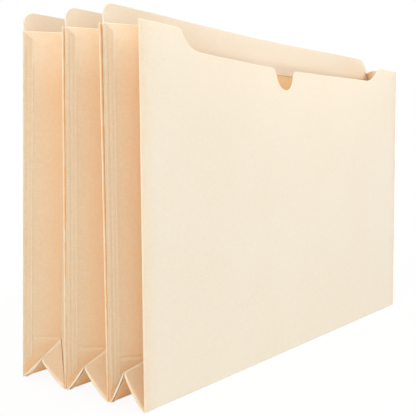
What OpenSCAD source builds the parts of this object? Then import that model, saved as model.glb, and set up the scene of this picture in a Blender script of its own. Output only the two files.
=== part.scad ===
// Set of three expanding file jackets in manila board, standing in a row.
// Each jacket has two panels joined by folding gussets: a V at either side and an inverted V below.
// X runs along the panels, Y from the front jacket to the rear one, Z up from the table.

/* [Board] */
// Thickness of the manila board
board_t = 0.4; // [0.3:0.05:0.5]
// Air between two plies that fold against each other
ply_gap = 0.2; // [0.2:0.05:0.4]
// Air between a rounded fold and the leaf that turns about it
fold_gap = 0.25; // [0.2:0.05:0.4]

/* [Panels] */
// Width of a jacket across its panels
panel_w = 374.6; // [280:0.2:420]
// Height of the gussets and of the front panel's ears
gusset_h = 228.6; // [180:0.2:280]
// Height of the tab above the gussets
tab_h = 12.7; // [8:0.1:25]
// Radius of the tab's top corners
tab_corner_r = 9; // [2:0.5:12]
// How far the tab's ends stand in from the panel's sides
tab_inset = 1; // [0.5:0.5:8]
// Height of the second ply on the inside of the tab
tab_ply_h = 27; // [20:0.5:60]
// How far the second ply stands in from the side creases below the tab
tab_ply_inset = 8; // [8:0.5:40]

/* [Front panel] */
// Drop from the ears to the low front edge
front_drop = 12.7; // [8:0.1:20]
// Length of the flat top of each ear
ear_w = 36; // [20:0.5:60]
// Length along X of the curve from the ear to the low edge
ear_curve_w = 25; // [18:0.5:40]
// Radius of the ear's outer curve
ear_r = 6; // [3:0.5:8]
// Radius of the thumb notch
notch_r = 12.5; // [10:0.5:16]
// Depth of the thumb notch below the low edge
notch_depth = 16; // [12:0.5:20]
// Radius of the notch's shoulders
notch_shoulder_r = 7; // [4:0.5:10]

/* [Gussets] */
// Width of one gusset leaf, from the panel's crease to the ridge
leaf_w = 25.4; // [22:0.2:40]
// Width of the glue flap on each rear leaf
flap_w = 5.5; // [3:0.5:9]
// Height of the slanting cut at the flap's top end
flap_cut_h = 5; // [1:0.5:10]
// Length left open beside the bottom corner, where the creases meet
corner_open = 4; // [3:0.5:6]
// Length left open beside the ridge, where the creases meet
ridge_open = 6; // [5:0.5:8]
// How far the corner tuck's tip stands off the line of the bottom ridge
tuck_lift = 0.6; // [0.4:0.1:1.2]

/* [Set] */
// Depth of the front jacket between its panels
front_depth = 28.6; // [16:0.2:42]
// Depth of the middle jacket between its panels
middle_depth = 36; // [16:0.2:42]
// Depth of the rear jacket between its panels
rear_depth = 41.6; // [16:0.2:42]
// Air between two neighbouring jackets
jacket_gap = 0.9; // [0.5:0.1:4]

/* [Hidden] */
$fn = 48;
MANILA = "#f2e3c8";
MANILA_INSIDE = "#eed2a8";
MANILA_SHADE = "#e3c08f";
cut_past = 1;

// Distance from one folded ply to the next, middle to middle
ply_pitch = board_t + ply_gap;
// Radius of the rounded fold along each crease, which stays behind the board's outer face
fold_r = 0.7 * (board_t + ply_gap / 2);
// Where a leaf's board starts, measured from its crease
leaf_start = fold_r + fold_gap;
// The crease lines of a left side: X of the upright ones, Z of the lowest ones
crease_x = -panel_w / 2 + fold_r;
crease_z = fold_r;
// X at which the slanting cut of the bottom leaves' left ends meets the lowest crease
slant_x = crease_x + 2 * leaf_start;
back_h = gusset_h + tab_h;
low_h = gusset_h - front_drop;

// A jacket's name, its depth and the Y of its middle plane
set_depth = front_depth + middle_depth + rear_depth + 3 * board_t + 2 * jacket_gap;
front_y = -set_depth / 2 + board_t / 2 + front_depth / 2;
middle_y = front_y + front_depth / 2 + board_t + jacket_gap + middle_depth / 2;
rear_y = middle_y + middle_depth / 2 + board_t + jacket_gap + rear_depth / 2;
JACKETS = [
  ["front_pocket", front_depth, front_y],
  ["middle_pocket", middle_depth, middle_y],
  ["rear_pocket", rear_depth, rear_y],
];
PIECES = [
  "back_panel",
  "tab_ply",
  "front_panel",
  "left_rear_gusset",
  "left_front_gusset",
  "right_rear_gusset",
  "right_front_gusset",
  "left_glue_flap",
  "right_glue_flap",
  "bottom_rear_leaf",
  "bottom_front_leaf",
  "left_rear_tuck",
  "left_front_tuck",
  "right_rear_tuck",
  "right_front_tuck",
];

// Half the way between the two panel creases, and how far the ridge lies in from them
function crease_y(depth) = depth / 2 - ply_pitch / 2;
function ridge_in(depth) = sqrt(leaf_w ^ 2 - crease_y(depth) ^ 2);
function unit(v) = v / norm(v);

// Two ends of the middle line of the rear side leaf and of the rear bottom leaf.
// The board passes outside the panel's crease and inside the ridge, so that the plies fold flat.
function side_out(depth) = [-crease_y(depth), -ridge_in(depth), 0] / leaf_w;
function side_start(depth) = [crease_x, crease_y(depth), 0] + ply_pitch / 2 * side_out(depth);
function side_end(depth) = [crease_x + ridge_in(depth), 0, 0] - ply_pitch / 2 * side_out(depth);
function bottom_out(depth) = [0, -ridge_in(depth), -crease_y(depth)] / leaf_w;
function bottom_start(depth) = [0, crease_y(depth), crease_z] + ply_pitch / 2 * bottom_out(depth);
function bottom_end(depth) = [0, 0, crease_z + ridge_in(depth)] - ply_pitch / 2 * bottom_out(depth);
function leaf_length() = sqrt(leaf_w ^ 2 + ply_pitch ^ 2);

// The slanting crease between the rear side leaf and its corner tuck
function tuck_start(depth) = side_start(depth) + ply_pitch / 2 * side_out(depth) + [0, 0, crease_z];
function tuck_end(depth) = side_end(depth) + ply_pitch / 2 * side_out(depth) + [0, 0, crease_z + leaf_w];
// The tuck's outer corner, over the end of the bottom ridge
function tuck_tip(depth) =
  [crease_x, 0, crease_z + ridge_in(depth)] - tuck_lift * bottom_out(depth);

// Lays what is drawn flat onto the plane through start along two directions
module on_plane(start, along, across) {
  out = cross(along, across);
  multmatrix([
    [along.x, across.x, out.x, start.x],
    [along.y, across.y, out.y, start.y],
    [along.z, across.z, out.z, start.z],
  ])
    children();
}

// A sheet of board, its middle on the drawing plane
module board() {
  linear_extrude(board_t, center = true)
    children();
}

// A panel drawn in X and Z, standing at the middle plane y
module upright(y) {
  on_plane([0, y, 0], [1, 0, 0], [0, 0, 1])
    children();
}

// Rounded folds along a panel's two sides and its bottom; side is 1 for a back panel, -1 for a front one
module panel_folds(depth, side) {
  y = side * crease_y(depth);
  for (x = [crease_x, -crease_x])
    translate([x, y, 0])
      cylinder(r = fold_r, h = gusset_h);
  translate([crease_x, y, crease_z])
    rotate([0, 90, 0])
      cylinder(r = fold_r, h = -2 * crease_x);
}

// Outline of the back panel: square up to the gussets' top, then the tab with round corners
module back_outline() {
  tab_half_w = panel_w / 2 - tab_inset;
  translate([crease_x, 0])
    square([-2 * crease_x, gusset_h]);
  difference() {
    translate([-tab_half_w, gusset_h - cut_past])
      square([2 * tab_half_w, tab_h + cut_past]);
    for (side = [0, 1])
      mirror([side, 0])
        translate([-tab_half_w, back_h - tab_corner_r])
          difference() {
            translate([-cut_past, 0])
              square(tab_corner_r + cut_past);
            translate([tab_corner_r, 0])
              circle(tab_corner_r);
          }
  }
}

module back_panel(depth) {
  color(MANILA_INSIDE) {
    upright(depth / 2)
      board()
        back_outline();
    panel_folds(depth, 1);
  }
}

// Second ply on the inside of the tab, drawn in below the tab so that the gussets fold beside it
module tab_ply(depth) {
  below_half_w = -crease_x - tab_ply_inset;
  color(MANILA_INSIDE)
    upright(depth / 2 - board_t)
      board()
        intersection() {
          back_outline();
          union() {
            translate([-panel_w / 2, gusset_h + fold_gap])
              square([panel_w, tab_h]);
            translate([-below_half_w, back_h - tab_ply_h])
              square([2 * below_half_w, tab_ply_h]);
          }
        }
}

// What an ear adds above the low edge at the left: a flat top, an outer curve and an inner curve
module ear_outline() {
  turn = 2 * atan(front_drop / ear_curve_w);
  inner_r = ear_curve_w / sin(turn) - ear_r;
  flat_end = crease_x + ear_w;
  curve_end = flat_end + ear_curve_w;
  meet = [flat_end + ear_r * sin(turn), gusset_h - ear_r * (1 - cos(turn))];
  translate([crease_x, low_h - cut_past])
    square([ear_w, front_drop + cut_past]);
  intersection() {
    translate([flat_end, gusset_h - ear_r])
      circle(ear_r);
    translate([flat_end, low_h])
      square(front_drop);
  }
  difference() {
    polygon([
      [flat_end, low_h - cut_past],
      [flat_end, gusset_h - ear_r],
      meet,
      [curve_end, low_h],
      [curve_end, low_h - cut_past],
    ]);
    translate([curve_end, low_h + inner_r])
      circle(inner_r);
  }
}

// The thumb notch, a round cut whose shoulders curve into the low edge
module notch_outline() {
  notch_z = low_h - notch_depth + notch_r;
  shoulder_z = low_h - notch_shoulder_r;
  reach = notch_r + notch_shoulder_r;
  shoulder_x = sqrt(reach ^ 2 - (shoulder_z - notch_z) ^ 2);
  meet = [0, notch_z] + notch_r / reach * [shoulder_x, shoulder_z - notch_z];
  translate([0, notch_z])
    circle(notch_r);
  difference() {
    polygon([
      [-shoulder_x, low_h + cut_past],
      [shoulder_x, low_h + cut_past],
      [shoulder_x, low_h],
      meet,
      [-meet.x, meet.y],
      [-shoulder_x, low_h],
    ]);
    for (x = [-shoulder_x, shoulder_x])
      translate([x, shoulder_z])
        circle(notch_shoulder_r);
  }
}

module front_panel(depth) {
  color(MANILA) {
    upright(-depth / 2)
      board()
        difference() {
          union() {
            translate([crease_x, 0])
              square([-2 * crease_x, low_h]);
            for (side = [0, 1])
              mirror([side, 0])
                ear_outline();
          }
          notch_outline();
        }
    panel_folds(depth, -1);
  }
}

// The plane of a left rear leaf: X runs from the panel's crease to the ridge, Y is up
module on_side_leaf(depth) {
  along = unit(side_end(depth) - side_start(depth));
  on_plane(side_start(depth), along, [0, 0, 1])
    children();
}

// A left rear leaf, cut slanting below for the corner tuck, with the slanting crease's fold
module side_leaf(depth, board_end) {
  rise = leaf_w / leaf_length();
  slant = atan(rise);
  slant_l = (leaf_length() - corner_open - ridge_open) / cos(slant);
  on_side_leaf(depth) {
    board()
      polygon([
        [leaf_start, crease_z + rise * corner_open],
        [corner_open, crease_z + rise * corner_open],
        [board_end, crease_z + rise * board_end],
        [board_end, gusset_h],
        [leaf_start, gusset_h],
      ]);
    translate([corner_open, crease_z + rise * corner_open, ply_pitch / 2])
      rotate([0, 0, slant])
        rotate([0, 90, 0])
          cylinder(r = fold_r, h = slant_l);
  }
}

// The rear leaf carries the fold of the ridge, which stops a little short of the board's ends
module rear_gusset(depth) {
  fold_low = crease_z + leaf_w + leaf_start;
  color(MANILA_SHADE) {
    side_leaf(depth, leaf_length());
    translate([crease_x + ridge_in(depth), 0, fold_low])
      cylinder(r = fold_r, h = gusset_h - leaf_start - fold_low);
  }
}

// The front leaf is the rear one mirrored, and stops short of the ridge's fold
module front_gusset(depth) {
  color(MANILA_SHADE)
    mirror([0, 1, 0])
      side_leaf(depth, leaf_length() - leaf_start);
}

// Strip glued to the outside of the left rear leaf, cut slanting at both ends
module glue_flap(depth) {
  flap_end = leaf_start + flap_w;
  clear_of_tuck = 2 * corner_open;
  color(MANILA)
    on_side_leaf(depth)
      translate([0, 0, board_t])
        board()
          polygon([
            [leaf_start, crease_z + leaf_start + clear_of_tuck],
            [flap_end, crease_z + flap_end + clear_of_tuck],
            [flap_end, gusset_h - flap_cut_h],
            [leaf_start, gusset_h],
          ]);
}

// A rear leaf of the bottom gusset, from beside the panel's crease to board_end.
// Its ends are cut slanting, so that the corner tucks fold flat beside them.
module bottom_leaf(depth, board_end) {
  along = unit(bottom_end(depth) - bottom_start(depth));
  on_plane(bottom_start(depth), [1, 0, 0], along)
    board()
      polygon([
        [slant_x + leaf_start, leaf_start],
        [slant_x + board_end, board_end],
        [-slant_x - board_end, board_end],
        [-slant_x - leaf_start, leaf_start],
      ]);
}

// The rear leaf carries the fold of the bottom ridge, which stops a little short of the board's ends
module bottom_rear_leaf(depth) {
  fold_left = slant_x + leaf_length() + leaf_start;
  color(MANILA_SHADE) {
    bottom_leaf(depth, leaf_length());
    translate([fold_left, 0, crease_z + ridge_in(depth)])
      rotate([0, 90, 0])
        cylinder(r = fold_r, h = -2 * fold_left);
  }
}

module bottom_front_leaf(depth) {
  color(MANILA_SHADE)
    mirror([0, 1, 0])
      bottom_leaf(depth, leaf_length() - leaf_start);
}

// Rear half of the left corner tuck: the triangle below the slanting crease, open at the two crease ends.
// Its board passes the crease on the far side from the leaf, so that it folds flat on the leaf.
module rear_tuck(depth) {
  start = tuck_start(depth);
  crease = tuck_end(depth) - start;
  along = unit(crease);
  to_tip = tuck_tip(depth) - start;
  tip_along = to_tip * along;
  out_of_crease = to_tip - tip_along * along;
  edge_start = 2 * leaf_start;
  tip = [tip_along - edge_start, norm(out_of_crease)];
  crease_end = [norm(crease) - edge_start, 0];
  color(MANILA_INSIDE)
    on_plane(start, along, unit(out_of_crease))
      translate([0, 0, ply_pitch / 2])
        board()
          polygon([
            [corner_open * sqrt(2), edge_start],
            crease_end + [-ridge_open * sqrt(2), edge_start],
            crease_end + (tip - crease_end) * 2 * ridge_open / leaf_w,
            tip,
            tip * corner_open / leaf_w,
          ]);
}

// Puts a jacket's piece at its place in the row
module in_jacket(jacket) {
  translate([0, jacket[2], 0])
    children();
}

// The same piece at the other end of the jacket, or on its front side
module at_right() {
  mirror([1, 0, 0])
    children();
}

module at_front() {
  mirror([0, 1, 0])
    children();
}

// One piece of a jacket, by its name
module jacket_piece(piece, depth) {
  if (piece == "back_panel") back_panel(depth);
  if (piece == "tab_ply") tab_ply(depth);
  if (piece == "front_panel") front_panel(depth);
  if (piece == "left_rear_gusset") rear_gusset(depth);
  if (piece == "left_front_gusset") front_gusset(depth);
  if (piece == "right_rear_gusset") at_right() rear_gusset(depth);
  if (piece == "right_front_gusset") at_right() front_gusset(depth);
  if (piece == "left_glue_flap") glue_flap(depth);
  if (piece == "right_glue_flap") at_right() glue_flap(depth);
  if (piece == "bottom_rear_leaf") bottom_rear_leaf(depth);
  if (piece == "bottom_front_leaf") bottom_front_leaf(depth);
  if (piece == "left_rear_tuck") rear_tuck(depth);
  if (piece == "left_front_tuck") at_front() rear_tuck(depth);
  if (piece == "right_rear_tuck") at_right() rear_tuck(depth);
  if (piece == "right_front_tuck") at_right() at_front() rear_tuck(depth);
}

for (jacket = JACKETS)
  for (piece = PIECES)
    in_jacket(jacket) jacket_piece(piece, jacket[1]);
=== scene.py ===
# %% [markdown]
# # Three expanding file jackets
# The object is a row of three manila jackets. Each one is a folded sheet of board: a back panel with
# a tab, a lower front panel with a thumb notch, and gussets that open like an accordion.
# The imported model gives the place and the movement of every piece. Here each piece is made again as
# what it is on the real object: a thin sheet with rolled creases, a soft bow and pale cut edges.

# %% The frame and its box
import math

import bmesh
import bpy
import numpy as np
from mathutils import Matrix, Vector


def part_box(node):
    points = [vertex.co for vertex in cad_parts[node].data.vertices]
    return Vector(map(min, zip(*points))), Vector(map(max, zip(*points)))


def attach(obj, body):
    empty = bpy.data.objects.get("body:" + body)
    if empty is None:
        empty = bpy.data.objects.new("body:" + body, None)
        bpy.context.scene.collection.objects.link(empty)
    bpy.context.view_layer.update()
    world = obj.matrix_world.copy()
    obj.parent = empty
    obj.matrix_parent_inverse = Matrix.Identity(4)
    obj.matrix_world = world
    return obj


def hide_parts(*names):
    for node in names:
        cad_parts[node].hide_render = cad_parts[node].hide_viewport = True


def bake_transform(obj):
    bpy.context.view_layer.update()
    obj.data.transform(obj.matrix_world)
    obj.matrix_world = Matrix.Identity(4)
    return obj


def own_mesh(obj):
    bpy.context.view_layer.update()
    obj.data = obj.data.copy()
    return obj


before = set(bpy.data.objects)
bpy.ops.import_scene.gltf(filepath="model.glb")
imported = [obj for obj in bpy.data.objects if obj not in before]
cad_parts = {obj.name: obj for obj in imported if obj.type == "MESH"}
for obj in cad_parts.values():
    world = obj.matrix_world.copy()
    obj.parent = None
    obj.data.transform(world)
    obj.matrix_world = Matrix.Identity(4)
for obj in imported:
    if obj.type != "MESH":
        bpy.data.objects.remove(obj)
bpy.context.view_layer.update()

# %% [markdown]
# ## The sizes that every piece shares
# All lengths below are in millimetres, because that is how a paper maker thinks, and MM turns them
# into metres when a mesh is made. The height, the width and the depth of the jackets are read from the
# boxes of their panels, so the sheets always stand where the model has them.

# %% Board sizes
MM = 0.001
board = 0.4
ply_pitch = 0.6
fold_r = 0.35
leaf_w = 25.4
leaf_l = math.hypot(leaf_w, ply_pitch)
half_w = 1000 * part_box("front_pocket_front_panel")[1].x
gusset_h = 1000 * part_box("front_pocket_left_rear_gusset")[1].z
back_h = 1000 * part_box("front_pocket_back_panel")[1].z
crease_x, crease_z = fold_r - half_w, fold_r
print("jackets", round(2 * half_w, 1), "mm wide, gussets", round(gusset_h, 1), "mm high")

# %% [markdown]
# ## How each jacket stands
# No two paper jackets stand alike, so each has its own bends, in millimetres:
#
# - bow and back_bow: how far the middle of the front's and of the back's top edge bows backward
# - front_lean and back_lean: how far the panels lean back at the top, at their left and right end
# - tab_tilt: how far the tab tips back above the gussets, at its left and right end
# - touch: how far the front and the back panel press outward, against the neighbours
# - closed_lean: how far the planes lean on which the front and the back go flat in a closed jacket
# - tip_proud: how far the tips of the corner tucks stand out past the side creases


# %% The three jackets
def jacket_sizes(name, **bends):
    """Depth, planes, creases and ridge of one jacket, and how its panels bend and lean."""
    front_y = 1000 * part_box(name + "_front_panel")[0].y + board / 2
    back_y = 1000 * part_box(name + "_back_panel")[1].y - board / 2
    crease_y = (back_y - front_y) / 2 - ply_pitch / 2
    return {
        "name": name,
        "front_y": front_y,
        "back_y": back_y,
        "mid": (front_y + back_y) / 2,
        "crease_y": crease_y,
        "ridge_in": math.sqrt(leaf_w**2 - crease_y**2),
        **bends,
    }


jackets = [
    jacket_sizes(
        "front_pocket", bow=16.5, back_bow=7, front_lean=(6.4, 6.0), back_lean=(6.2, 6.2),
        tab_tilt=(1.8, 5.0), touch=(0, 0.3), closed_lean=(5.3, 6.2), tip_proud=2.9,
    ),
    jacket_sizes(
        "middle_pocket", bow=12, back_bow=3, front_lean=(7.6, 7.6), back_lean=(0.8, 0.8),
        tab_tilt=(1.6, 1.6), touch=(0.3, 0.3), closed_lean=(5.8, 0.8), tip_proud=2.6,
    ),
    jacket_sizes(
        "rear_pocket", bow=10, back_bow=2, front_lean=(1.7, 1.7), back_lean=(-2.9, -2.9),
        tab_tilt=(1.2, 1.2), touch=(0.3, 0), closed_lean=(0.7, -1.5), tip_proud=1.9,
    ),
]
for jacket in jackets:
    depth = jacket["back_y"] - jacket["front_y"]
    print(jacket["name"], "depth", round(depth, 2), "ridge", round(jacket["ridge_in"], 2))

# %% [markdown]
# ## The camera
# The camera comes early, so that every later step can be looked at. Its place was found by matching
# the panels' corners with the picture: low and to the left, looking at the sides and the front.
# The matrix is written out from three directions, which avoids any doubt about Euler angles.

# %% Camera
camera_place = Vector((-510.45, -333.07, 161.98)) * MM
camera_angles = (-53.97, 5.37, 0.87)
azimuth, elevation, tilt = (math.radians(a) for a in camera_angles)
level = Vector((math.cos(azimuth), math.sin(azimuth), 0))
back = Vector((
    math.sin(azimuth) * math.cos(elevation),
    -math.cos(azimuth) * math.cos(elevation),
    math.sin(elevation),
))
right = level * math.cos(tilt) + back.cross(level) * math.sin(tilt)
up = back.cross(right)
scene = bpy.context.scene
camera = bpy.data.objects.new("camera", bpy.data.cameras.new("camera"))
scene.collection.objects.link(camera)
place = Matrix((right, up, back)).transposed().to_4x4()
place.translation = camera_place
camera.matrix_world = place
camera.data.sensor_width = 36
camera.data.lens = 64.46
camera.data.clip_start, camera.data.clip_end = 0.01, 20
scene.camera = camera
print("camera at", [round(x, 3) for x in camera.location])

# %% [markdown]
# ## Small helpers for shaders
# A shader is a tree of nodes joined by links. Written out by hand, each node takes four or five lines,
# so a few helpers add the common ones to a tree and return the socket that holds the result.


# %% Helpers: noise and ranges
def noise(tree, where, scale, detail, stretch=None):
    """A noise texture, drawn out along one direction when stretch is given."""
    made = tree.nodes.new("ShaderNodeTexNoise")
    made.inputs["Scale"].default_value = scale
    made.inputs["Detail"].default_value = detail
    if stretch:
        drawn = tree.nodes.new("ShaderNodeMapping")
        drawn.inputs["Scale"].default_value = stretch
        tree.links.new(where, drawn.inputs["Vector"])
        where = drawn.outputs["Vector"]
    tree.links.new(where, made.inputs["Vector"])
    return made.outputs["Fac"]


def span(tree, value, given, wanted):
    """Takes a value from a given range to a wanted one, and stays inside it."""
    made = tree.nodes.new("ShaderNodeMapRange")
    for name, x in zip(("From Min", "From Max", "To Min", "To Max"), (*given, *wanted)):
        made.inputs[name].default_value = x
    tree.links.new(value, made.inputs["Value"])
    return made.outputs["Result"]


print("helpers for patterns:", noise.__name__, span.__name__)


# %% Helpers: mixing and sums
def feed(tree, what, where):
    """An input takes a link when it is given a socket, and else the plain value."""
    if isinstance(what, bpy.types.NodeSocket):
        tree.links.new(what, where)
    else:
        where.default_value = what


def mix_colour(tree, share, a, b):
    """A colour mix. A Mix node has sockets for every kind of data; these are the ones for colours."""
    made = tree.nodes.new("ShaderNodeMix")
    made.data_type = "RGBA"
    colour_a, colour_b = [s for s in made.inputs if s.type == "RGBA"]
    feed(tree, share, made.inputs[0])
    feed(tree, a, colour_a)
    feed(tree, b, colour_b)
    return next(s for s in made.outputs if s.type == "RGBA")


def calculate(tree, operation, a, b):
    """A Math node for two values."""
    made = tree.nodes.new("ShaderNodeMath")
    made.operation = operation
    feed(tree, a, made.inputs[0])
    feed(tree, b, made.inputs[1])
    return made.outputs[0]


def product(tree, a, b):
    return calculate(tree, "MULTIPLY", a, b)


def sum_of(tree, *values):
    total = values[0]
    for value in values[1:]:
        total = calculate(tree, "ADD", total, value)
    return total


print("helpers for sums:", mix_colour.__name__, product.__name__, sum_of.__name__)

# %% [markdown]
# ## What manila board is made of
# Manila board is unbleached pulp: a cream sheet with long pale fibres, a few brown flecks and a cloudy
# tone that shows against the light. A photograph of board could give that, but a pattern from noise
# has no seams and works at any size. All finishes of the object share it, so it is a node group.

# %% Node group: pulp fibres
pale_fibre = (1.0, 0.95, 0.84, 1)


def socket(group, name, kind, way):
    """A named input or output of a group."""
    return group.interface.new_socket(name, in_out=way, socket_type="NodeSocket" + kind)


pulp = bpy.data.node_groups.new("pulp fibres", "ShaderNodeTree")
socket(pulp, "Place", "Vector", "INPUT")
for colour in ("Board", "Cloud", "Fleck"):
    socket(pulp, colour, "Color", "INPUT")
socket(pulp, "Roughness", "Float", "INPUT")
socket(pulp, "Color", "Color", "OUTPUT")
socket(pulp, "Roughness", "Float", "OUTPUT")
socket(pulp, "Height", "Float", "OUTPUT")
given, out = pulp.nodes.new("NodeGroupInput"), pulp.nodes.new("NodeGroupOutput")
spot = given.outputs["Place"]
clouds = noise(pulp, spot, scale=16, detail=4)
long_fibres = noise(pulp, spot, scale=260, detail=5, stretch=(1, 1, 7))
cross_fibres = noise(pulp, spot, scale=300, detail=5, stretch=(6, 6, 1))
grain = noise(pulp, spot, scale=1900, detail=4)
specks = noise(pulp, spot, scale=420, detail=2, stretch=(1, 1, 3))
fibres = sum_of(pulp, product(pulp, long_fibres, 0.5), product(pulp, cross_fibres, 0.5))
cloudy = product(pulp, span(pulp, clouds, given=(0.35, 0.7), wanted=(0, 1)), 0.55)
paler = span(pulp, fibres, given=(0.42, 0.62), wanted=(0, 0.16))
flecked = span(pulp, specks, given=(0.69, 0.74), wanted=(0, 0.5))
toned = mix_colour(pulp, cloudy, given.outputs["Board"], given.outputs["Cloud"])
toned = mix_colour(pulp, paler, toned, pale_fibre)
toned = mix_colour(pulp, flecked, toned, given.outputs["Fleck"])
pulp.links.new(toned, out.inputs["Color"])
uneven = span(pulp, fibres, given=(0.35, 0.65), wanted=(-0.07, 0.07))
pulp.links.new(sum_of(pulp, given.outputs["Roughness"], uneven), out.inputs["Roughness"])
height = sum_of(pulp, product(pulp, grain, 0.45), product(pulp, fibres, 0.55))
pulp.links.new(height, out.inputs["Height"])
print("group", pulp.name, "with", len(pulp.nodes), "nodes")

# %% [markdown]
# ## Worn edges and painted warm shade
# Where board is cut its skin breaks and the paler core shows. In the slits between the jackets and deep
# in the folds the sheets shade each other and light bounces between them; that shade is painted in as a
# deeper, warmer tone. Each sheet carries two values at its points for that, from 0 to 1: one for the
# wear, which also paints the tops of the gussets paler where more light falls from above, and one for
# the painted shade. The group breaks both up a little, so that no line looks ruled.

# %% Node group: worn edge and painted shade
wear_and_shade = bpy.data.node_groups.new("wear and painted shade", "ShaderNodeTree")
for colour in ("Color", "Core", "Score"):
    socket(wear_and_shade, colour, "Color", "INPUT")
socket(wear_and_shade, "Place", "Vector", "INPUT")
socket(wear_and_shade, "Wear_and_light", "Float", "INPUT")
socket(wear_and_shade, "Warm_shade", "Float", "INPUT")
socket(wear_and_shade, "Color", "Color", "OUTPUT")
given, out = wear_and_shade.nodes.new("NodeGroupInput"), wear_and_shade.nodes.new("NodeGroupOutput")
patches = noise(wear_and_shade, given.outputs["Place"], scale=130, detail=5)
broken = span(wear_and_shade, patches, given=(0.3, 0.6), wanted=(0.55, 1))
warm_shade = product(wear_and_shade, broken, given.outputs["Warm_shade"])
wear_and_light = product(wear_and_shade, broken, given.outputs["Wear_and_light"])
# Painted shade: the second value turns the colour to a deeper, warmer tone, for shade and light bounced
# between the sheets.
toned = mix_colour(wear_and_shade, warm_shade, given.outputs["Color"], given.outputs["Score"])
toned = mix_colour(wear_and_shade, wear_and_light, toned, given.outputs["Core"])
wear_and_shade.links.new(toned, out.inputs["Color"])
print("group", wear_and_shade.name, "with", len(wear_and_shade.nodes), "nodes")

# %% [markdown]
# ## The finishes
# One board, six finishes: the smooth outer face of the fronts, the tabs and the backs' outer face, the
# faces inside the pockets, the gussets, the bottoms, and the pale cut edge. They differ in colour and
# roughness, and share the groups above. Most of the difference in colour is painted light: the tab
# finish is a lighter, warmer copy of the board, the inside and bottom finishes are warmer, more orange
# copies for light bounced between the sheets and up from the table, and the gusset finish is a deeper,
# warmer copy for the shade in the folds. Thin board lets a little light through, and a short subsurface
# radius gives that glow without making it look like wax. Colours are written as on a screen, and turned
# into the linear values that Blender uses.

# %% Helper: a finish of the board
# The third colour is painted shade, a deeper, warmer tone; the pale core is the cut board's own colour,
# and it also paints the gussets' tops paler, as light from above.
fleck, core, warm_shade_colour = (226, 194, 152), (255, 244, 224), (243, 192, 138)
fibre_relief = 0.0002
glow_depth = 0.0007


def linear(r, g, b):
    """A screen colour, 0 to 255, as the linear colour a shader takes."""
    parts = [x / 255 for x in (r, g, b)]
    return [x / 12.92 if x <= 0.04045 else ((x + 0.055) / 1.055) ** 2.4 for x in parts] + [1]


def group_node(tree, group, place, **colours):
    """A node that uses a group, with its place linked and its colours set."""
    made = tree.nodes.new("ShaderNodeGroup")
    made.node_tree = group
    tree.links.new(place, made.inputs["Place"])
    for name, colour in colours.items():
        made.inputs[name].default_value = linear(*colour)
    return made


def board_finish(name, colour, cloud, rough, bump):
    """A material from the two groups; colour and cloud are the board's lighter and deeper tone."""
    made = bpy.data.materials.new(name)
    made.use_nodes = True
    tree = made.node_tree
    shader = tree.nodes["Principled BSDF"]
    place = tree.nodes.new("ShaderNodeTexCoord").outputs["Object"]
    fibre = group_node(tree, pulp, place, Board=colour, Cloud=cloud, Fleck=fleck)
    fibre.inputs["Roughness"].default_value = rough
    edge = group_node(tree, wear_and_shade, place, Core=core, Score=warm_shade_colour)
    for value in ("wear_and_light", "warm_shade"):
        given = tree.nodes.new("ShaderNodeAttribute")
        given.attribute_name = value
        tree.links.new(given.outputs["Fac"], edge.inputs[value.capitalize()])
    raised = tree.nodes.new("ShaderNodeBump")
    raised.inputs["Strength"].default_value = bump
    raised.inputs["Distance"].default_value = fibre_relief
    tree.links.new(fibre.outputs["Height"], raised.inputs["Height"])
    tree.links.new(fibre.outputs["Color"], edge.inputs["Color"])
    tree.links.new(edge.outputs["Color"], shader.inputs["Base Color"])
    tree.links.new(fibre.outputs["Roughness"], shader.inputs["Roughness"])
    tree.links.new(raised.outputs["Normal"], shader.inputs["Normal"])
    shader.inputs["Specular IOR Level"].default_value = 0.25
    shader.inputs["Subsurface Weight"].default_value = 0.75
    shader.inputs["Subsurface Radius"].default_value = (1.0, 1.0, 1.0)
    shader.inputs["Subsurface Scale"].default_value = glow_depth
    return made


print("board glows", 1000 * glow_depth, "mm deep, its fibres stand", 1000 * fibre_relief, "mm high")

# %% Board finishes
# Painted light: the tab, inside, bottom and gusset finishes are lighter, warmer or deeper copies of the
# board.
front_finish = board_finish("manila front", (240, 226, 205), (238, 222, 198), 0.72, 0.25)
tab_light_finish = board_finish("manila tab painted light", (251, 225, 198), (249, 220, 191), 0.76, 0.3)
inside_glow_finish = board_finish("manila inside painted glow", (254, 214, 160), (251, 207, 151), 0.76, 0.3)
gusset_shade_finish = board_finish("manila gusset painted shade", (228, 201, 168), (224, 195, 160), 0.78, 0.3)
bottom_glow_finish = board_finish("manila bottom painted glow", (255, 198, 138), (252, 190, 128), 0.78, 0.3)
cut_finish = board_finish("cut edge", (252, 238, 212), (247, 229, 198), 0.85, 0.5)
print("finishes:", [m.name for m in bpy.data.materials if m.name.startswith(("manila", "cut"))])

# %% [markdown]
# ## A sheet of board
# Every piece is a thin sheet, so one helper makes them all. It takes columns of points that lie in the
# middle of the board, joins neighbours with faces, and lets a Solidify modifier give the thickness.
# Solidify comes last, so a sheet that bends keeps its thickness. It also tells the two faces and the
# cut edge apart: the rim takes the second material, and the reverse takes the third. The outline is
# marked sharp, which keeps the narrow cut edge from blurring the shading of the faces.


# %% Helper: a sheet from columns of points
def unmarked(columns):
    """A value of 0 for each point of a sheet."""
    return np.zeros((len(columns), len(columns[0])))


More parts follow.
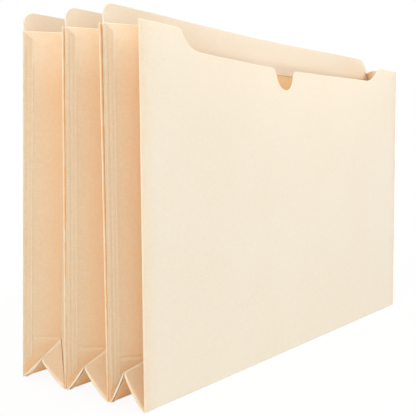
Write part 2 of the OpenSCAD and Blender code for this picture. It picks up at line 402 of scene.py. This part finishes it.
def sheet_of_board(name, columns, finish, wear_and_light, warm_shade=None, reverse=None):
    """A thin sheet from columns of points, with a finish for each face and its marks of wear, painted
    light and painted shade.
    """
    grid = np.array(columns, float)
    across, along = grid.shape[:2]
    mesh = bpy.data.meshes.new(name)
    faces = [
        (i * along + j, (i + 1) * along + j, (i + 1) * along + j + 1, i * along + j + 1)
        for i in range(across - 1)
        for j in range(along - 1)
    ]
    mesh.from_pydata((grid.reshape(-1, 3) * MM).tolist(), [], faces)
    shaped = bmesh.new()
    shaped.from_mesh(mesh)
    for face in shaped.faces:
        face.smooth = True
    for edge in shaped.edges:
        edge.smooth = not edge.is_boundary
    shaped.to_mesh(mesh)
    shaped.free()
    marks = {"wear_and_light": wear_and_light, "warm_shade": unmarked(columns) if warm_shade is None else warm_shade}
    for mark, values in marks.items():
        layer = mesh.attributes.new(mark, "FLOAT", "POINT")
        layer.data.foreach_set("value", values.astype(np.float32).ravel())
    for face_finish in (finish, cut_finish, reverse or finish):
        mesh.materials.append(face_finish)
    piece = bpy.data.objects.new(name, mesh)
    scene.collection.objects.link(piece)
    solid = piece.modifiers.new("board thickness", "SOLIDIFY")
    solid.thickness = board * MM
    solid.offset = 0
    solid.material_offset_rim = 1
    solid.material_offset = 2
    return piece


print("sheets of board,", board, "mm thick")


# %% Helpers: soft steps and rolled creases
def smooth(t):
    """A soft step: 0 up to t = 0, 1 from t = 1 on."""
    t = np.clip(t, 0, 1)
    return t * t * (3 - 2 * t)


roll_from, roll_r = 0.3, 0.5
roll_angles = np.radians([88, 60, 30])


def roll(reach):
    """Steps of a rolled crease: how far past the flat part, and how far out of its plane."""
    return [(reach + roll_r * math.sin(a), roll_r * (1 - math.cos(a))) for a in roll_angles]


print("a crease rolls over", round(math.degrees(roll_angles[0])), "degrees")

# %% [markdown]
# ## The front panels
# The front panel is a wide sheet with two ears, a lower edge between them and a thumb notch. It hangs
# from three creases, so its free top edge bows inward, most of all in the middle. Columns of points
# run up from the bottom crease, and each column ends on the outline, so the curves stay clean.

# %% Outline of the front panel
front_drop, ear_w, ear_curve_w, ear_r = 12.7, 36.0, 25.0, 6.0
notch_r, notch_depth, shoulder_r = 12.5, 16.0, 7.0
low_h = gusset_h - front_drop
ear_turn = 2 * math.atan(front_drop / ear_curve_w)
inner_r = ear_curve_w / math.sin(ear_turn) - ear_r
notch_z = low_h - notch_depth + notch_r
shoulder_z = low_h - shoulder_r
shoulder_x = math.sqrt((notch_r + shoulder_r) ** 2 - (shoulder_z - notch_z) ** 2)
notch_meet = notch_r / (notch_r + shoulder_r) * shoulder_x


def front_top(x):
    """Height of the front panel's cut edge at x."""
    x = abs(x)
    if x <= notch_meet:
        return notch_z - math.sqrt(notch_r**2 - x**2)
    if x < shoulder_x:
        return shoulder_z + math.sqrt(max(shoulder_r**2 - (shoulder_x - x) ** 2, 0))
    past = -crease_x - ear_w - x
    if past <= 0:
        return gusset_h
    if past <= ear_r * math.sin(ear_turn):
        return gusset_h - ear_r + math.sqrt(ear_r**2 - past**2)
    if past < ear_curve_w:
        return low_h + inner_r - math.sqrt(inner_r**2 - (ear_curve_w - past) ** 2)
    return low_h


def mirrored(xs):
    """The same places on both sides of the middle, in order."""
    xs = sorted(set(round(abs(float(x)), 4) for x in xs))
    return [-x for x in reversed(xs) if x > 0] + xs


flat_x = -crease_x - roll_from
ear_x = -crease_x - ear_w
front_xs = mirrored([
    *(notch_meet * np.sin(np.linspace(0, math.pi / 2, 13))),
    *(shoulder_x - shoulder_r * np.cos(np.linspace(0.18, math.pi / 2, 9))),
    *np.linspace(shoulder_x, ear_x - ear_curve_w, 18),
    *np.linspace(ear_x - ear_curve_w, ear_x, 22),
    *np.linspace(ear_x, flat_x, 9),
])
print("front outline:", len(front_xs), "columns; notch bottom at", round(front_top(0), 1), "mm")

# %% How a panel bends
dish_power, touch_h = 1.3, 4
heights = np.concatenate([np.linspace(0.004, 0.9, 22), np.linspace(0.92, 0.985, 5)])
edge_h, edge_steps = 1.6, (0.7, 0.25, 0)


def lean_at(lean, x):
    """The lean at x, between its values at the left and the right end."""
    at_left, at_right = lean
    return at_left + (at_right - at_left) * (x + half_w) / (2 * half_w)


def front_lean(jacket, x, z):
    """How far the front panel leans in at this height."""
    return lean_at(jacket["front_lean"], x) * z / gusset_h


def front_bend(jacket, x, z):
    """A shallow dish, deepest at the middle of the free edge, on a leaning panel."""
    middle = math.sin(math.pi * min(max((x + half_w) / (2 * half_w), 0), 1)) ** 2
    dish = jacket["bow"] * middle * max(z / gusset_h, 0) ** dish_power
    return dish + front_lean(jacket, x, z) - jacket["touch"][0] * min(z / touch_h, 1)


def panel_heights(top):
    """Heights of a column, each with how far it is bent out of the plane by the bottom crease."""
    start = crease_z + roll_from
    rolled = [(start - past, bent) for past, bent in roll(0)]
    flat = [start + 0.05, *(start + 0.1 + h * (top - edge_h - crease_z) for h in heights)]
    flat += [top - step for step in edge_steps]
    return rolled + [(z, 0) for z in flat]


def flatten(piece):
    """Gives the sheet its own copy of its mesh."""
    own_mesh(piece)


print("panels:", len(panel_heights(gusset_h)), "points in each column")

# %% Front panels
cut_wear, crease_wear_and_top_light = 0.8, 0.35
# Painted shade at the side creases: how deep, how faint, and how far it reaches into the panel.
deep_crease_shade, faint_crease_shade, crease_shade_w = 0.8, 0.1, 4
shade_spread, shade_spread_w = 0.2, 14


def front_column(jacket, x, out):
    """One column, from the bottom crease's roll up to the cut edge; out is the side crease's roll."""
    steps = panel_heights(front_top(x))
    return [(x, jacket["front_y"] + bent + out + front_bend(jacket, x, z), z) for z, bent in steps]


def crease_shade(columns, depth):
    """Painted warm shade: deep at the side creases, and fading over the next few millimetres of the
    panel.
    """
    off = half_w - abs(np.array(columns)[:, :, 0])
    near = 1 - smooth((off - roll_from) / crease_shade_w)
    return depth * near + shade_spread * (1 - smooth(off / shade_spread_w))


def panel_wear(columns):
    """Wear at the cut edge above, and less at the bottom crease."""
    wear_and_light = unmarked(columns)
    wear_and_light[:, -2:] = cut_wear
    wear_and_light[:, :2] = crease_wear_and_top_light
    return wear_and_light


for jacket in jackets:
    name = jacket["name"]
    rolled = roll(flat_x)
    columns = [front_column(jacket, -x, out) for x, out in rolled]
    columns += [front_column(jacket, x, 0) for x in front_xs]
    columns += [front_column(jacket, x, out) for x, out in reversed(rolled)]
    wear_and_light = panel_wear(columns)
    # Painted shade: the middle and rear fronts stand in the slits behind their neighbours and get the
    # deep tone; the open front jacket gets a faint one.
    warm_shade = crease_shade(columns, faint_crease_shade if jacket is jackets[0] else deep_crease_shade)
    piece = sheet_of_board(name + "_front_sheet", columns, front_finish, wear_and_light, warm_shade, inside_glow_finish)
    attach(piece, name + "_front_panel")
    flatten(piece)
    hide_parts(name + "_front_panel")
    print(piece.name, len(piece.data.vertices), "points, bow", jacket["bow"], "mm")

# %% [markdown]
# ## The back panels and their tabs
# The back panel is taller than the rest: a straight tab with round corners stands above the gussets.
# It is stiffer than the front, because the tab is doubled, but it still leans and bows a little, and
# the tab tips back. The outline is again a height for every x, with the tab's ends set in a little
# from the creases.

# %% Outline of the back panel
tab_half, tab_r = half_w - 1.0, 9.0
tip_z = gusset_h - 6


def back_top(x):
    """Height of the back panel's cut edge at x."""
    x = abs(x)
    if x > tab_half:
        return gusset_h
    if x > tab_half - tab_r:
        return back_h - tab_r + math.sqrt(max(tab_r**2 - (x - tab_half + tab_r) ** 2, 0))
    return back_h


corner = tab_half - tab_r + tab_r * np.sin(np.linspace(0, math.pi / 2, 14))
back_xs = mirrored([*np.linspace(0, tab_half - tab_r, 32), *corner])
print("back outline:", len(back_xs), "columns; tab corner ends at", round(back_top(tab_half), 1), "mm")


# %% Back panels
def back_lean(jacket, x, z):
    """How far the back panel leans, and how its tab tips back above the gussets."""
    tip = lean_at(jacket["tab_tilt"], x) * max(z - tip_z, 0) / (back_h - tip_z)
    return lean_at(jacket["back_lean"], x) * z / gusset_h + tip


def back_bend(jacket, x, z):
    """A slight set in the board: the panel leans, and the middle of the tab bows back."""
    middle = math.cos(math.pi * min(max(x / (2 * half_w), -0.5), 0.5)) ** 2
    dish = jacket["back_bow"] * middle * max(z / back_h, 0) ** 2
    return dish + back_lean(jacket, x, z) + jacket["touch"][1] * min(z / touch_h, 1)


def back_column(jacket, x, out, top):
    """One column of the back, made like the front's."""
    steps = panel_heights(top)
    return [(x, jacket["back_y"] - bent - out + back_bend(jacket, x, z), z) for z, bent in steps]


shoulders = [(x, out, gusset_h) for x, out in [*roll(flat_x), (flat_x, 0), (tab_half + 0.02, 0)]]
for jacket in jackets:
    name = jacket["name"]
    columns = [back_column(jacket, -x, out, top) for x, out, top in shoulders]
    columns += [back_column(jacket, x, 0, back_top(x)) for x in back_xs]
    columns += [back_column(jacket, x, out, top) for x, out, top in reversed(shoulders)]
    wear_and_light = panel_wear(columns)
    # A faint painted shade along the back's side creases.
    warm_shade = crease_shade(columns, faint_crease_shade)
    piece = sheet_of_board(name + "_back_sheet", columns, inside_glow_finish, wear_and_light, warm_shade, tab_light_finish)
    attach(piece, name + "_back_panel")
    flatten(piece)
    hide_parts(name + "_back_panel")
    print(piece.name, len(piece.data.vertices), "points")

# %% [markdown]
# ## The second ply of the tab
# A tab that is handled every day is doubled: a second strip of board is glued to its inside. Its lower
# edge is what shows through the thumb notch. A line in the material could stand for that edge, but it
# would catch no light, so the ply is a sheet of its own. It follows the back panel's set, one board
# further in.

# %% Tab plies
ply_low, ply_half = back_h - 27.0, -crease_x - 8.0
ply_clear, glue_gap = 0.25, 0.02


def ply_column(jacket, x):
    """One column of the ply; beside the gussets it starts above them."""
    low = gusset_h + ply_clear if abs(x) > ply_half else ply_low
    tall = back_top(x) - low
    steps = [0, 0.25, 0.8, *np.linspace(1.5, tall - 1.5, 9), *(tall - step for step in edge_steps)]
    plane = jacket["back_y"] - board - glue_gap
    return [(x, plane + back_bend(jacket, x, low + s), low + s) for s in steps]


for jacket in jackets:
    name = jacket["name"]
    columns = [ply_column(jacket, x) for x in back_xs]
    wear_and_light = unmarked(columns)
    wear_and_light[:, :2] = wear_and_light[:, -2:] = cut_wear
    piece = sheet_of_board(name + "_tab_sheet", columns, tab_light_finish, wear_and_light)
    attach(piece, name + "_back_panel")
    flatten(piece)
    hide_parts(name + "_tab_ply")
    print(piece.name, len(piece.data.vertices), "points")

# %% [markdown]
# ## The side gussets
# Each side is one sheet, scored up the middle so that it folds inward as a V. Two rigid leaves would
# leave a slit at the score, so the sheet is made in one piece. Its lower edge is slanting, where the
# corner tuck starts.

# %% Helpers for the leaves
slant_lap, ridge_lift, lift_from, lift_w = 0.6, 0.8, 19, 6
fold_z = crease_z + leaf_w + 1.0
groove_depth, groove_w, groove_fade = 0.55, 0.9, 5
slack_depth, slack_fade = 0.2, 9


def creases_at(jacket, z, x_side):
    """Half the distance between the two side creases at this height, and how far back they lean."""
    front = front_lean(jacket, x_side * crease_x, z)
    rear = back_lean(jacket, x_side * crease_x, z)
    return jacket["crease_y"] + (rear - front) / 2, (rear + front) / 2


def leaf_point(jacket, s, z, side, x_side, lift):
    """A point of a leaf at s from its crease, at height z and lift off its outer face."""
    e, shift = creases_at(jacket, z, x_side)
    d = math.sqrt(leaf_w**2 - e**2)
    outward = np.array([-e, -d]) / leaf_w
    start = np.array([crease_x, e]) + ply_pitch / 2 * outward
    end = np.array([crease_x + d, 0]) - ply_pitch / 2 * outward
    x, y = start + (end - start) * s / leaf_l + lift * outward
    return (x_side * x, jacket["mid"] + shift + side * y, z)


def slant_z(s):
    """Height of the leaf's slanting lower edge at s from the crease."""
    raised = ridge_lift * smooth((s - lift_from) / lift_w)
    return crease_z + leaf_w * s / leaf_l - slant_lap + raised


def leaf_shape(s, z):
    """How far a leaf stands off its plane: a faint crease across it, and a slack triangle below."""
    groove = -groove_depth * np.exp(-(((z - fold_z) / groove_w) ** 2)) * smooth(s / groove_fade)
    middle = math.sin(math.pi * min(s / leaf_l, 1))
    slack = -slack_depth * middle * smooth((fold_z - z) / slack_fade) * (z < fold_z)
    return groove + slack


print("crease across the gussets at", round(fold_z, 1), "mm")

# %% Columns of a gusset
leaf_steps = [0.02, 0.4, 0.9, 1.6, 2.6, 4.0, 5.6, 6.4, 8.5, 11, 14, 17, 20, 22.5, 24.2, leaf_l - 0.35]
ridge_bend = np.radians([-45, 0, 45])
ridge_out, ridge_across = 0.32, 0.28
low_steps = (0, 0.002, 0.006)
below_count = 8
fold_steps = (-1.4, -0.7, 0, 0.7, 1.4, 2.5)


def gusset_column(jacket, s, side, x_side):
    """One column of a leaf: side is 1 for the rear leaf, -1 for the front one."""
    low = slant_z(s)
    below = np.linspace(low + 1.6, max(fold_z - 2, low + 2), below_count)
    crossing = np.maximum(fold_z + np.array(fold_steps), low + 2.2 + 0.1 * np.arange(len(fold_steps)))
    above = np.linspace(fold_z + 4, gusset_h - edge_h, 26)
    foot = low + (gusset_h - low) * np.array(low_steps)
    zs = np.concatenate([foot, below, crossing, above, gusset_h - np.array(edge_steps)])
    return [leaf_point(jacket, s, z, side, x_side, leaf_shape(s, z)) for z in zs]


def ridge_columns(jacket, x_side):
    """The rounded ridge between the leaves."""
    columns = []
    for angle in ridge_bend:
        column = []
        for x, y, z in gusset_column(jacket, leaf_l, 1, x_side):
            e, shift = creases_at(jacket, z, x_side)
            reach = crease_x + math.sqrt(leaf_w**2 - e**2) + ridge_out * math.cos(angle)
            column.append((x_side * reach, jacket["mid"] + shift - ridge_across * math.sin(angle), z))
        columns.append(column)
    return columns


print("gussets:", 2 * len(leaf_steps) + len(ridge_bend), "columns")

# %% Side gussets
both_ends = (("left", 1), ("right", -1))
# Painted shade on the leaves: how deep towards the ridge and in the slack triangle, and where it starts
# and fades.
ridge_shade, inner_from, inner_w = 0.4, 4, 14
low_shade, low_w, deepest_shade = 0.5, 16, 0.8
rim_wear, foot_wear, fold_wear, top_light_h = 0.9, 0.5, 0.3, 40
fold_row = len(low_steps) + below_count + fold_steps.index(0)


def painted_leaf_shade(columns):
    """Painted shade: the slack triangle and the inside of the fold, towards the ridge, get a deeper,
    warmer tone than the outer edge, for shade and light bounced between the leaves.
    """
    x, z = abs(np.array(columns)[:, :, 0]), np.array(columns)[:, :, 2]
    inner = smooth((-crease_x - inner_from - x) / inner_w)
    low = smooth((fold_z - z) / low_w)
    return np.clip(ridge_shade * inner + low_shade * low, 0, deepest_shade)


def leaf_wear_and_top_light(columns):
    """Wear at the cut edges and along the faint crease; towards the top the leaf is painted paler, for
    the light that falls from above.
    """
    z = np.array(columns)[:, :, 2]
    # Painted light: the top of each leaf is painted paler, towards the core's colour, as more light
    # falls there from above.
    wear_and_light = crease_wear_and_top_light * smooth((z - gusset_h + top_light_h) / top_light_h)
    wear_and_light[:, -2:] = rim_wear
    wear_and_light[:, :2] = foot_wear
    wear_and_light[:, fold_row] = fold_wear
    return wear_and_light


for jacket in jackets:
    name = jacket["name"]
    for end, x_side in both_ends:
        columns = [gusset_column(jacket, s, 1, x_side) for s in leaf_steps]
        columns += ridge_columns(jacket, x_side)
        columns += [gusset_column(jacket, s, -1, x_side) for s in reversed(leaf_steps)]
        wear_and_light, warm_shade = leaf_wear_and_top_light(columns), painted_leaf_shade(columns)
        piece = sheet_of_board(f"{name}_{end}_gusset_sheet", columns, gusset_shade_finish, wear_and_light, warm_shade)
        rear, front = f"{name}_{end}_rear_gusset", f"{name}_{end}_front_gusset"
        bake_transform(piece)
        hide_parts(rear, front)
    print(name, "side gussets,", len(piece.data.vertices), "points each")

# %% [markdown]
# ## The folds at the side creases
# Panel and gusset are one board, which bends round the crease. The panel's rolled edge shows that bend
# at rest, but as a jacket opens the leaf turns away from it. So a narrow strip lies behind each crease,
# half on the panel and half on the leaf. One crease of each jacket has no joint across it in the frame,
# and there the strip is left out.

# %% Fold strips
both_halves = (("rear", 1), ("front", -1))
strip_w, strip_half, strip_in, strip_clear = 3.6, 2.4, 0.35, 0.3
strip_heights = np.linspace(crease_z + 5, gusset_h - 0.8, 28)


def strip_column(jacket, side, x_side, z):
    """The strip's way round the crease at one height: along the panel, round, and along the leaf."""
    e, shift = creases_at(jacket, z, x_side)
    d = math.sqrt(leaf_w**2 - e**2)
    along, inward = np.array([d, -e]) / leaf_w, np.array([e, d]) / leaf_w
    turn = strip_in / math.tan(math.atan2(e, d) / 2) + strip_clear
    way = [(r, -strip_in) for r in (strip_w, strip_half, turn)]
    way += [tuple(along * r + inward * strip_in) for r in (turn, strip_half, strip_w)]
    return [(x_side * (crease_x + x), jacket["mid"] + shift + side * (e + y), z) for x, y in way]


for jacket in jackets:
    name = jacket["name"]
    open_crease = ("right", "rear") if name == "rear_pocket" else ("right", "front")
    for end, x_side in both_ends:
        for half, side in both_halves:
            if (end, half) == open_crease:
                continue
            rows = [strip_column(jacket, side, x_side, z) for z in strip_heights]
            piece = sheet_of_board(f"{name}_{end}_{half}_fold", rows, gusset_shade_finish, unmarked(rows))
            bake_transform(piece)
print("fold strips:", 3 * len(jackets))

# %% [markdown]
# ## The glue flaps
# The gusset is joined to the back panel by a narrow flap, which lies on the outside of the rear leaf.
# It is cut slanting at its top, and a score runs down it, so it shows as two or three fine lines. It
# could be drawn with a bump, but a bump has no edge at the outline. So it is a narrow sheet that uses
# the leaf's own points, lifted by one board.

# %% Glue flaps
flap_w, flap_cut, flap_foot, flap_gap = 5.5, 5.0, 8.0, 0.03
flap_steps = [0.6, 0.9, 1.6, 2.3, 2.6, 2.9, 4.0, 5.2, 5.8, 6.1]
score_s, score_w, score_depth = 2.6, 0.25, 0.14
flap_wear = 0.4


def flap_column(jacket, s, x_side):
    """One column of a flap, which lies one board outside the leaf and dips in along its scored line."""
    low = slant_z(s) + flap_foot
    top = gusset_h - flap_cut * (s - flap_steps[0]) / flap_w
    zs = [low, low + 0.5, *np.linspace(low + 1.5, top - 1.5, 40), top - 0.5, top]
    off = board + flap_gap - score_depth * math.exp(-(((s - score_s) / score_w) ** 2))
    return [leaf_point(jacket, s, z, 1, x_side, off + leaf_shape(s, z)) for z in zs]


for jacket in jackets:
    name = jacket["name"]
    for end, x_side in both_ends:
        columns = [flap_column(jacket, s, x_side) for s in flap_steps]
        wear_and_light = unmarked(columns)
        wear_and_light[-2:, :] = wear_and_light[:, :1] = wear_and_light[:, -1:] = flap_wear
        piece = sheet_of_board(f"{name}_{end}_flap_sheet", columns, gusset_shade_finish, wear_and_light)
        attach(piece, f"{name}_{end}_rear_gusset")
        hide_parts(f"{name}_{end}_glue_flap")
print("glue flaps:", 2 * len(jackets), "strips of", flap_w, "mm")

# %% [markdown]
# ## The bottom gussets
# Below, the board folds up between the panels as an upside-down V. It is one sheet too, rounded at its
# ridge. A plain rectangle would stop short of the corner tucks' tips, so each row has its own length:
# the ends reach out under the tucks, and sink a little below them, which leaves these room to fold.

# %% Bottom gussets
bottom_steps = [0.5, 1.0, 2, 4, 7, 10, 13, 16, 19, 22, 24, leaf_l - 0.35]
bottom_cut, end_sink, bottom_ridge_half = 0.9, 1.1, 0.3
end_steps = np.array([0, 1, 3, 6, 10, 15, 21, 28])
sink_w, ridge_w, inner_gap = 4, 6, 12


def bottom_row(jacket, s, side):
    """One row from end to end, at s from the bottom crease; it never dips below the crease."""
    e, d = jacket["crease_y"], jacket["ridge_in"]
    outward = np.array([-d, -e]) / leaf_w
    start = np.array([e, crease_z]) + ply_pitch / 2 * outward
    finish = np.array([0, crease_z + d]) - ply_pitch / 2 * outward
    ends = -crease_x - bottom_cut + jacket["tip_proud"] * s / leaf_l - end_steps
    row = []
    inner = np.linspace(inner_gap - ends[-1], ends[-1] - inner_gap, 28)
    for x in [*-ends, *inner, *reversed(ends)]:
        near_end = smooth((abs(x) + crease_x + s + sink_w) / sink_w)
        sunk = end_sink * near_end * smooth((leaf_l - s) / ridge_w)
        y, z = start + (finish - start) * s / leaf_l + sunk * outward
        row.append((x, jacket["mid"] + side * y, max(z, crease_z)))
    return row


def bottom_ridge_row(jacket, angle):
    """One row of the rounded ridge."""
    y = jacket["mid"] - ridge_across * math.sin(angle)
    z = crease_z + jacket["ridge_in"] + ridge_out * math.cos(angle)
    return [(point[0], y, z) for point in bottom_row(jacket, leaf_l, 1)]


for jacket in jackets:
    name = jacket["name"]
    rows = [bottom_row(jacket, s, 1) for s in bottom_steps]
    rows += [bottom_ridge_row(jacket, angle) for angle in ridge_bend]
    rows += [bottom_row(jacket, s, -1) for s in reversed(bottom_steps)]
    piece = sheet_of_board(name + "_bottom_sheet", rows, bottom_glow_finish, unmarked(rows))
    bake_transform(piece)
    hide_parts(name + "_bottom_rear_leaf", name + "_bottom_front_leaf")

# %% [markdown]
# ## The corner tucks
# Where a side gusset meets the bottom, the board folds outward into a little tent: two triangles that
# meet in a ridge and reach from the slanting creases to a tip over the end of the bottom fold. Each
# half is drawn between three corners. One flat triangle would do from afar, but a grid of points lets
# its free lower edge curl under, as a fold does, and leaves its face slightly hollow, because folded
# board never lies quite flat.

# %% Shape of a corner tuck
curl_r, curl_from = 0.9, 0.01
tuck_hollow, hollow_power, tuck_lift, lift_by = 0.2, 0.6, 0.3, 0.06
tuck_seam, high_lift, tip_lift, tip_half = 0.25, 0.5, 0.6, 0.35
curl_turns = np.radians([130, 95, 60, 30])
to_tip = [0, 0.03, 0.07, 0.14, 0.25, 0.38, 0.52, 0.66, 0.78, 0.88, 0.95, 0.985]
to_ridge = [0.02, 0.05, 0.1, 0.2, 0.32, 0.45, 0.58, 0.7, 0.81, 0.9, 0.96, 0.985]


def unit(v):
    """The same direction, one long."""
    return v / np.linalg.norm(v)


def tuck_corners(jacket, off_leaf):
    """Corners of the left rear tuck: at the bottom corner, on the ridge and at the tip."""
    e, d = jacket["crease_y"], jacket["ridge_in"]
    low = np.array([crease_x, e, crease_z]) + ply_pitch * off_leaf
    high = np.array([crease_x + d, 0, crease_z + leaf_w + high_lift])
    tip = np.array([crease_x - jacket["tip_proud"], tip_half, crease_z + d + tip_lift])
    return low, high, tip


def tuck_sheet(jacket, x_side, y_side):
    """Columns from the slanting crease to the tip; each starts at the curled edge."""
    off_leaf = np.array([-jacket["crease_y"], -jacket["ridge_in"], 0]) / leaf_w
    low, high, tip = tuck_corners(jacket, off_leaf)
    across = unit(np.cross(high - low, tip - low))
    if across[0] > 0:
        across = -across
    along = unit(tip - low)
    under = unit(along * np.dot(high - low, along) - (high - low))
    columns = []
    for k in to_tip:
        points = []
        curl_size = curl_r * math.sqrt(math.sin(math.pi * min(k + curl_from, 0.98)))
        for turn in curl_turns:
            curl = under * math.sin(turn) - across * (1 - math.cos(turn))
            points.append((1 - k) * (low + curl_from * (high - low)) + k * tip + curl * curl_size)
        lift = tuck_lift * smooth(k / lift_by) * (1 - k) * off_leaf
        for t in to_ridge:
            hollow = tuck_hollow * math.sin(math.pi * k) * math.sin(math.pi * t**hollow_power)
            points.append((1 - k) * (low + t * (high - low)) + k * tip - hollow * across + lift)
        columns.append([
            (x_side * x, jacket["mid"] + y_side * max(y, tuck_seam), z) for x, y, z in points
        ])
    return columns


print("a tuck has", len(to_tip), "columns of", len(curl_turns) + len(to_ridge), "points")

# %% Corner tucks
curl_wear, tuck_wear = 0.45, 0.5
for jacket in jackets:
    for end, x_side in both_ends:
        for half, y_side in both_halves:
            columns = tuck_sheet(jacket, x_side, y_side)
            wear_and_light = unmarked(columns)
            wear_and_light[:, :len(curl_turns) + 2] = curl_wear
            wear_and_light[:, -2:] = wear_and_light[:1, :] = wear_and_light[-2:, :] = tuck_wear
            tuck = f"{jacket['name']}_{end}_{half}_tuck"
            piece = sheet_of_board(tuck + "_sheet", columns, gusset_shade_finish, wear_and_light)
            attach(piece, tuck)
            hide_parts(tuck)
print("corner tucks:", 4 * len(jackets), "halves")

# %% [markdown]
# ## Floor, light and background
# The jackets stand on a plain white table in a white room. The floor is part matt white, which takes
# the shadow, and part glowing, so that some light comes up from below, as it does from a lit table. The
# camera sees it nearly plain white, with the shadow left in faintly close to the jackets. Three soft
# boxes stand on the left for the gussets, in front for the wide panel, and behind for the backs.


# %% Floor
def seen_directly(tree):
    """1 for rays that show a surface as it is, in view, mirrored or through glass, and else 0."""
    path = tree.nodes.new("ShaderNodeLightPath")
    return sum_of(tree, *(path.outputs[f"Is {ray} Ray"] for ray in ("Camera", "Glossy", "Transmission")))


floor_half, floor_glow = 6, 0.3
shadow_reach, shadow_cover = (0.25, 0.8), (0.92, 1)
floor = bpy.data.objects.new("floor", bpy.data.meshes.new("floor"))
corners = [(x * floor_half, y * floor_half, 0) for x, y in ((-1, -1), (1, -1), (1, 1), (-1, 1))]
floor.data.from_pydata(corners, [], [(0, 1, 2, 3)])
scene.collection.objects.link(floor)
white = bpy.data.materials.new("white table")
white.use_nodes = True
tree = white.node_tree
tree.nodes.remove(tree.nodes["Principled BSDF"])
matt = tree.nodes.new("ShaderNodeBsdfDiffuse")
matt.inputs["Color"].default_value = (0.88, 0.88, 0.88, 1)
plain = tree.nodes.new("ShaderNodeEmission")
plain.inputs["Color"].default_value = (1, 1, 1, 1)
far = tree.nodes.new("ShaderNodeVectorMath")
far.operation = "LENGTH"
tree.links.new(tree.nodes.new("ShaderNodeTexCoord").outputs["Object"], far.inputs[0])
glow = span(tree, seen_directly(tree), given=(0, 1), wanted=(floor_glow, 1))
clear = span(tree, far.outputs["Value"], given=shadow_reach, wanted=shadow_cover)
mixed = tree.nodes.new("ShaderNodeMixShader")
tree.links.new(product(tree, glow, clear), mixed.inputs[0])
tree.links.new(matt.outputs[0], mixed.inputs[1])
tree.links.new(plain.outputs[0], mixed.inputs[2])
tree.links.new(mixed.outputs[0], tree.nodes["Material Output"].inputs["Surface"])
floor.data.materials.append(white)
print("floor made,", 2 * floor_half, "m wide")

# %% World and lamps
room_light = 0.64
scene.view_settings.view_transform = "Standard"
world = bpy.data.worlds.new("white room")
scene.world = world
world.use_nodes = True
tree = world.node_tree
room = tree.nodes["Background"]
room.inputs["Color"].default_value = (1, 1, 1, 1)
strength = span(tree, seen_directly(tree), given=(0, 1), wanted=(room_light, 1.0))
tree.links.new(strength, room.inputs["Strength"])


def soft_box(name, place, aim, size, watts):
    """A square lamp at a place, turned to what it lights."""
    lamp = bpy.data.lights.new(name, "AREA")
    lamp.size = size
    lamp.energy = watts
    made = bpy.data.objects.new(name, lamp)
    made.location = place
    made.rotation_euler = (Vector(aim) - Vector(place)).to_track_quat("-Z", "Y").to_euler()
    scene.collection.objects.link(made)


soft_box("left", place=(-1.05, -0.42, 0.95), aim=(-0.15, 0, 0.15), size=0.8, watts=7.4)
soft_box("front", place=(0.75, -1.0, 1.35), aim=(0.08, 0, 0.18), size=0.9, watts=9)
soft_box("behind", place=(0.3, 1.5, 1.2), aim=(0, 0, 0.12), size=1.2, watts=9)
print("room and", len(bpy.data.lights), "lamps made")
